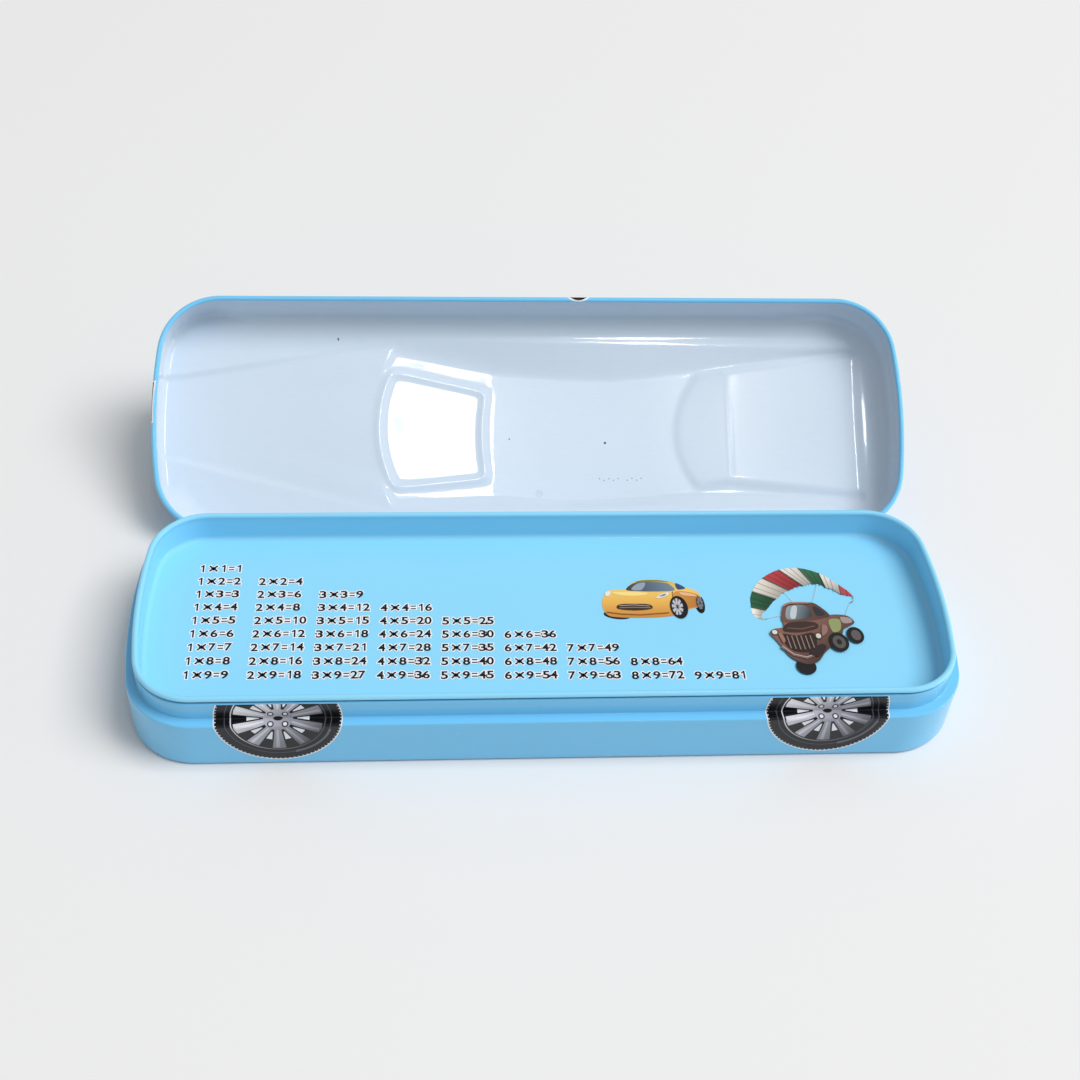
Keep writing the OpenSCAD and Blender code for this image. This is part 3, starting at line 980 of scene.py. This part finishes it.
def make_wheels():
    radius, centre_z = 14.8, 17.0
    silver = fade((-10, 6, (248, 250, 255)), (0, 0, (172, 174, 186)), (8, -8, (66, 68, 76)))
    tyre = fade((-14, 0, (14, 15, 20)), (0, -8, (26, 27, 30)), (14, -4, (10, 11, 16)))
    height, spots, normal = section_path()
    rim_shine = fade((-11, 1, (226, 228, 236)), (0, -3, (120, 124, 134)), (11, -4, (70, 72, 80)))
    spoke_shine = fade((-10, 6, (255, 255, 255)), (0, 0, (212, 214, 224)), (8, -8, (104, 106, 116)))
    dark, white = (20, 21, 26), (238, 243, 250)
    spoke = filled([(2.0, -0.62), (6.0, -1.02), (10.4, -1.62), (10.65, 0),
                    (10.4, 1.62), (6.0, 1.02), (2.0, 0.62)])
    spoke_edge = filled([(2.0, -1.0), (6.0, -1.42), (10.5, -2.05), (10.5, 2.05), (6.0, 1.42), (2.0, 1.0)])
    sheen = filled([(2.4, -0.2), (6.0, -0.45), (10.2, -0.85), (10.2, 0.1), (6.0, 0.15), (2.4, 0.1)])
    gap = filled([(4.9, -0.6), (7.3, -1.05), (7.3, 1.05), (4.9, 0.6), (4.4, 0)])
    nut = filled(oval(2.4, 0, 0.78, n=18))
    nut_face = filled(oval(2.4, 0, 0.48, n=14))
    tick = filled([(14.45, -0.1), (15.0, -0.16), (15.0, 0.16), (14.45, 0.1)])
    lug = filled([(13.7, -0.22), (14.4, -0.3), (14.4, 0.05), (13.7, 0.1)])
    wear = filled(smooth(*oval(0.6, -0.4, 12.2, a0=-75, a1=-15, n=9),
                         *oval(1.0, -0.6, 11.2, a0=-75, a1=-15, n=9)[::-1]))
    artwork = (
        (0, filled(oval(0, 0, radius + 0.3, n=120)), white),
        (1, filled(oval(0, 0, radius, n=120)), tyre),
        (2, spread_round(tick, 84), white),
        (2, spread_round(lug, 84, 2), dark),
        (2, filled(oval(0, 0, 12.55, n=90), oval(0, 0, 12.35, n=90)), (82, 84, 94)),
        (3, filled(oval(0, 0, 11.2, n=90)), rim_shine),
        (4, filled(oval(0, 0, 10.92, n=90)), (10, 11, 15)),
        (5, spread_round(gap, 10), white),
        (6, spread_round(spoke_edge, 10, 18), dark),
        (7, spread_round(spoke, 10, 18), silver),
        (8, spread_round(sheen, 10, 18), spoke_shine),
        (9, filled(oval(0, 0, 3.5, n=30)), silver),
        (10, spread_round(nut, 4, 45), (36, 36, 42)),
        (11, spread_round(nut_face, 4, 45), (226, 228, 236)),
        (10, filled(oval(0, 0, 1.15, 0.8, n=20)), (30, 30, 36)),
        (4, wear, (98, 100, 108)))
    for end, name in ((-1, "wheel_prints_front"), (1, "wheel_prints_rear")):
        work = Print()
        for centre in ((-64.6, centre_z), (66.0, centre_z)):
            at = np.array(centre) * (-end, 1)
            for layer, shape, colour in artwork:
                work.area(moved(shape, at), moved_colour(colour, at), layer)
        work.drop(1, float(height[-1]))
        work.cut(1, [h for h in height[1:-1] if h > 1.5])
        low = float(height[0])

        def place(x, v, lift):
            v = np.maximum(v, low)
            inset, z = np.interp(v, height, spots[:, 0]), np.interp(v, height, spots[:, 1])
            nx, nz = np.interp(v, height, normal[:, 0]), np.interp(v, height, normal[:, 1])
            across = case_w / 2 - inset - nx * lift
            return np.c_[x, end * across, z + nz * lift]

        work.make(name, "base", "blue_enamel", place)


def make_coupe():
    """A plain two-door car, seen from in front and to one side."""
    work = Print()
    at = np.array((14.8, -0.2))
    glass = fade((7, 10, (50, 62, 78)), (19, 13, (120, 138, 156)))
    body = smooth((1.6, 1.5), (0.3, 3.6), (0.2, 6.4), (1.2, 9.0), (2.6, 10.1), (6.6, 10.4), (8.6, 12.5),
                  (11.5, 13.5), (15.6, 13.5), (19.4, 12.7), (22.0, 11.2), (24.8, 10.1), (26.3, 8.6),
                  (26.5, 6.0), (25.6, 4.2), (23.0, 3.4), (21.6, 2.2), (19.0, 1.3), (14.5, 0.8),
                  (9.0, 0.7), (4.4, 0.9))
    side = smooth((18.9, 1.6), (19.2, 5.5), (19.6, 9.2), (22.5, 9.4), (25.8, 8.2), (26.3, 6.0), (25.4, 4.4),
                  (22.8, 3.6))
    windows = smooth((6.9, 10.2), (8.9, 12.3), (12.2, 12.9), (17.4, 12.5), (18.9, 11.6), (19.6, 9.8),
                     (14, 9.5), (9.8, 9.7))
    yellow = fade((13, 13.4, (216, 182, 70)), (13, 10, (246, 206, 112)), (13, 6, (238, 184, 88)),
                  (13, 0.8, (206, 138, 66)))
    flank = fade((19, 9, (222, 156, 66)), (26, 6, (188, 122, 58)))
    parts = (
        (oval(3.8, 1.7, 3.6, 1.35, -8), (24, 24, 28)),
        (oval(25.9, 5.2, 1.35, 3.2, 4), (24, 24, 28)),
        (body, yellow),
        (side, flank),
        (windows, glass),
        (smooth((8.3, 10.3), (10.0, 12.2), (12.2, 12.5), (11.0, 10.1)), (150, 166, 180)),
        (smooth((9.6, 12.8), (12, 13.4), (15.6, 13.4), (18.6, 12.8), (14.6, 12.95)), (150, 128, 40)),
        (smooth((20.3, 12.3), (22.3, 11.1), (22.6, 10.4), (20.6, 10.2)), (62, 80, 128)),
        (smooth((3.0, 9.3), (8.0, 9.4), (12.5, 9.0), (10.5, 8.1), (5.5, 8.2)), (254, 226, 140)),
        (smooth((21.2, 9.2), (24.6, 8.5), (25.2, 7.7), (21.6, 8.2)), (236, 190, 150)),
        (smooth((1.3, 9.3), (2.6, 9.6), (2.3, 8.3), (1.3, 8.1)), (232, 238, 240)),
        (smooth((14.6, 7.4), (16.6, 8.8), (18.2, 9.0), (17.4, 7.9), (15.4, 7.2)), (228, 234, 238)),
        (smooth((15.4, 7.7), (16.7, 8.5), (17.4, 8.5), (16.8, 7.9)), (120, 134, 146)),
        (smooth((4.2, 3.7), (4.6, 5.1), (8.6, 5.3), (12.6, 5.0), (13.0, 3.6), (8.6, 3.1)), (66, 48, 34)),
        (stroke([(4.6, 4.7), (8.6, 4.9), (12.6, 4.5)], 0.22), (176, 170, 160)),
        (stroke([(4.6, 4.0), (8.6, 4.1), (12.8, 3.9)], 0.22), (150, 144, 136)),
        (stroke([(1.0, 2.6), (5, 1.9), (10, 1.6), (17.5, 2.2)], 0.3), (150, 92, 34)),
        (stroke([(19.2, 9.4), (19.0, 6.5), (18.6, 4.2)], 0.16), (140, 88, 36)),
        (oval(20.3, 4.0, 2.3, 3.8, 5), (22, 22, 26)),
        (oval(19.9, 4.1, 1.5, 2.9, 5), (60, 62, 68)),
        (oval(26.0, 5.3, 0.85, 2.3, 4), (64, 66, 72)))
    for loop, colour in parts:
        work.area(moved(filled(loop), at), moved_colour(colour, at))
    spokes = spread_round(filled([(0.2, -0.14), (1.0, -0.2), (1.0, 0.2), (0.2, 0.14)]), 9, 12)
    work.area((spokes[0] * (1.45, 2.8) + at + (19.9, 4.1), spokes[1]), (196, 198, 204))
    work.area((spokes[0] * (0.75, 2.2) + at + (26.0, 5.3), spokes[1]), (130, 132, 138))
    work.cut(0, at[0] + np.arange(0.75, 27, 0.75))
    work.cut(1, at[1] + np.arange(0.75, 14, 0.75))
    work.make("coupe_print", "tray", "tray_enamel",
              lambda x, y, lift: on_tray(14.6 + (x - at[0]) * 0.965, y, lift))


def make_pickup():
    """A plain rust-brown pickup hanging under a striped canopy."""
    work = Print()
    ribs = 8
    band = ((250, 244, 232), (44, 98, 66), (238, 230, 216), (190, 66, 70),
            (240, 232, 220), (58, 116, 80), (238, 230, 218), (196, 72, 76))
    along = 24
    top = smooth((57.0, -0.6), (53.6, 5.4), (56.8, 12.2), (63.2, 16.4), (70.6, 16.6), (77.4, 12.6),
                 (81.4, 4.6), n=along)[:along * 6 + 1]
    under = smooth((57.2, -0.4), (58.6, 3.8), (63.6, 8.4), (69.2, 10.6), (73.0, 11.0), (77.6, 8.4),
                   (81.2, 4.8), n=along)[:along * 6 + 1]
    at_rib = np.linspace(0, len(top) - 1, ribs + 1).astype(int)
    for k in range(ribs):
        a, b = at_rib[k], at_rib[k + 1]
        sag = np.sin(np.linspace(0, math.pi, b - a + 1))[:, None] * (0.3, 0.5)
        loop = np.vstack([top[a:b + 1], (under[a:b + 1] + sag)[::-1]])
        c = np.array(band[k])
        mid = (top[(a + b) // 2], under[(a + b) // 2])
        work.area(filled(loop), fade((*mid[0], c), (*mid[1], c * 0.72)))
        for q in (0.33, 0.66):
            i = int(a + (b - a) * q)
            work.area(filled(stroke([top[i], under[i]], 0.16)), tuple(c * 0.6))
    for k in at_rib:
        work.area(filled(stroke([top[k], under[k]], 0.2)), (96, 92, 84))
    lines = (((57.1, -0.4), (62.4, 1.0)), ((81.2, 4.6), (78.6, -0.6)), ((63.6, 8.6), (66.0, 4.2)),
             ((73.2, 11.0), (70.6, 4.0)))
    for ends in lines:
        work.area(filled(stroke(ends, 0.14)), (206, 212, 216))
    rust = fade((60, 2, (146, 106, 92)), (66, -6, (128, 92, 80)), (72, -14, (62, 46, 44)))
    cab_brown = fade((62, 4, (122, 82, 70)), (74, -1, (84, 62, 58)))
    glass = fade((63, 3, (150, 166, 172)), (69, 0, (58, 66, 74)))
    black = (30, 29, 31)
    body = smooth((57.2, -5.4), (58.6, -4.0), (61.2, -3.4), (61.6, -1.4), (64.0, -0.9), (69.8, -0.6),
                  (73.0, 0.2), (76.4, 0.6), (79.6, 0.0), (81.0, -2.0), (79.6, -3.2), (77.6, -4.4),
                  (76.4, -7.0), (73.6, -9.6), (71.0, -12.0), (68.6, -14.8), (65.2, -15.4), (61.6, -13.2),
                  (59.6, -9.6), (58.4, -7.4))
    cab = smooth((61.4, -1.6), (62.0, 2.8), (63.8, 4.7), (69.4, 4.8), (71.8, 3.9), (74.6, 0.4), (72.4, -0.8),
                 (66, -1.8))
    hood = smooth((61.2, -3.4), (63.6, -1.9), (69.6, -1.9), (70.6, -3.8), (66.2, -5.2), (61.4, -5.0))
    grille = smooth((60.0, -5.9), (64.4, -6.3), (69.0, -5.6), (69.0, -10.2), (65.6, -11.8), (61.8, -10.6))
    bumper = [(59.6, -9.9), (62.4, -12.6), (65.8, -13.6), (69.6, -12.2)]
    bumper_shine = [(59.8, -9.8), (62.5, -12.4), (65.8, -13.4), (69.5, -12.0)]
    parts = (
        (oval(65.2, -16.2, 2.7, 2.5, -20), black),
        (oval(80.4, -6.3, 2.3, 2.7, 10), black),
        (oval(80.6, -6.3, 1.3, 1.7, 10), (96, 92, 90)),
        (body, rust),
        (cab, cab_brown),
        (smooth((62.6, -0.7), (63.0, 2.6), (64.4, 3.7), (68.4, 3.7), (69.6, 0.2), (66, -0.9)), glass),
        (smooth((63.6, -0.2), (64.6, 3.2), (66.0, 3.3), (65.0, -0.5)), (196, 206, 210)),
        (smooth((70.4, 3.2), (71.8, 2.8), (73.4, 0.7), (71.0, 0.3)), (52, 52, 58)),
        (hood, (64, 48, 44)),
        (stroke([(62.2, -3.8), (66.0, -4.2), (69.8, -3.2)], 0.3), (120, 86, 72)),
        (grille, (54, 40, 38)),
        (smooth((74.0, -1.4), (77.0, -1.2), (76.6, -4.6), (74.4, -5.2)), (148, 158, 104)),
        (smooth((77.4, -0.4), (80.0, -0.8), (80.2, -2.2), (77.8, -2.4)), (168, 150, 146)),
        (oval(75.4, -8.6, 2.7, 3.1, 14), black),
        (oval(75.5, -8.6, 1.7, 2.1, 14), (92, 86, 82)),
        (oval(75.5, -8.6, 0.7, 0.9, 14), (40, 38, 38)),
        (oval(58.5, -5.2, 1.0), (88, 76, 70)),
        (oval(58.5, -5.2, 0.7), (226, 224, 210)),
        (oval(70.2, -6.6, 1.0, 1.15), (74, 60, 56)),
        (oval(70.2, -6.6, 0.7, 0.8), (214, 210, 196)),
        (stroke(bumper, 0.8), (128, 104, 94)),
        (stroke(bumper_shine, 0.25), (190, 174, 164)))
    for loop, colour in parts:
        work.area(filled(loop), colour)
    for k in range(6):
        x = 61.6 + k * 1.25
        low = -10.6 - 0.2 * min(k, 5 - k)
        work.area(filled(stroke([(x, -6.5), (x + 0.5, low)], 0.34)), (142, 122, 110))
    for loop, colour in (
            (smooth((71.2, -6.6), (72.8, -5.4), (73.0, -3.4), (71.8, -3.2)), (150, 116, 106)),
            (smooth((66.8, -12.0), (70.2, -9.4), (71.6, -10.4), (69.0, -13.2)), (52, 40, 40)),
            (smooth((59.4, -6.0), (60.2, -8.8), (60.9, -8.0), (60.3, -5.8)), (158, 116, 102)),
            (smooth((62.2, 3.0), (63.8, 4.5), (69.2, 4.5), (69.0, 4.1), (64.2, 4.0)), (168, 126, 112))):
        work.area(filled(loop), colour)
    work.cut(0, np.arange(54, 83, 1.0))
    work.cut(1, np.arange(-18, 17, 1.0))
    work.make("pickup_print", "tray", "tray_enamel",
              lambda x, y, lift: on_tray(66.3 + (x - 68.2) * 0.93, y, lift))


times_table()
make_wheels()
make_coupe()
make_pickup()


# ------------------------------------------------------------------ camera, light, floor
def place_camera():
    """Looks down on the open case from in front, a little to its left."""
    turn, height, roll = [math.radians(a) for a in (-6.2, 46.18, 4.13)]
    away, shift_x, shift_y, lens = 425.65, 0.65, -29.5, 55.4
    level = math.cos(height)
    ahead = Vector((-math.sin(turn) * level, math.cos(turn) * level, -math.sin(height)))
    side = ahead.cross(Vector((0, 0, 1))).normalized()
    up = side.cross(ahead)
    right = side * math.cos(roll) + up * math.sin(roll)
    top = up * math.cos(roll) - side * math.sin(roll)
    at = (-ahead * away - right * shift_x - top * shift_y) * MM
    data = bpy.data.cameras.new("camera")
    data.lens, data.sensor_width, data.clip_start = lens, 36, 0.01
    camera = put("camera", data)
    camera.matrix_world = Matrix.Translation(at) @ Matrix((right, top, -ahead)).transposed().to_4x4()
    bpy.context.scene.camera = camera


def area_light(name, at, aim, size, power, in_gloss=True):
    data = bpy.data.lights.new(name, "AREA")
    data.shape, data.size, data.size_y, data.energy = "RECTANGLE", size[0], size[1], power
    lamp = put(name, data)
    lamp.location = at
    lamp.rotation_euler = (Vector(aim) - Vector(at)).to_track_quat("-Z", "Y").to_euler()
    lamp.visible_glossy = in_gloss


def make_stage():
    f = Finish("floor_paper", Roughness=0.75)
    f.feed("Base Color", rgba((238, 238, 238)))
    mesh = bpy.data.meshes.new("floor")
    reach = 3.0
    corners = [(-reach, -reach, 0), (reach, -reach, 0), (reach, reach, 0), (-reach, reach, 0)]
    mesh.from_pydata(corners, [], [(0, 1, 2, 3)])
    mesh.materials.append(f.material)
    floor = put("floor", mesh)
    area_light("side_softbox", (3.0, -0.6, 5.0), (0.02, 0.03, 0), (3.0, 3.4), 262, in_gloss=False)
    area_light("top_strip", (0.61, -1.245, 4.0), (0, 0.06, 0), (0.26, 0.38), 6)
    area_light("right_panel", (1.7, -0.25, 0.16), (0, 0.04, 0.02), (0.9, 0.12), 4)
    world = bpy.data.worlds.new("studio")
    world.use_nodes = True
    world.node_tree.nodes["Background"].inputs[0].default_value = (1, 1, 1, 1)
    world.node_tree.nodes["Background"].inputs[1].default_value = 0.365
    bpy.context.scene.world = world
    bpy.context.scene.view_settings.view_transform = "Standard"


place_camera()
make_stage()
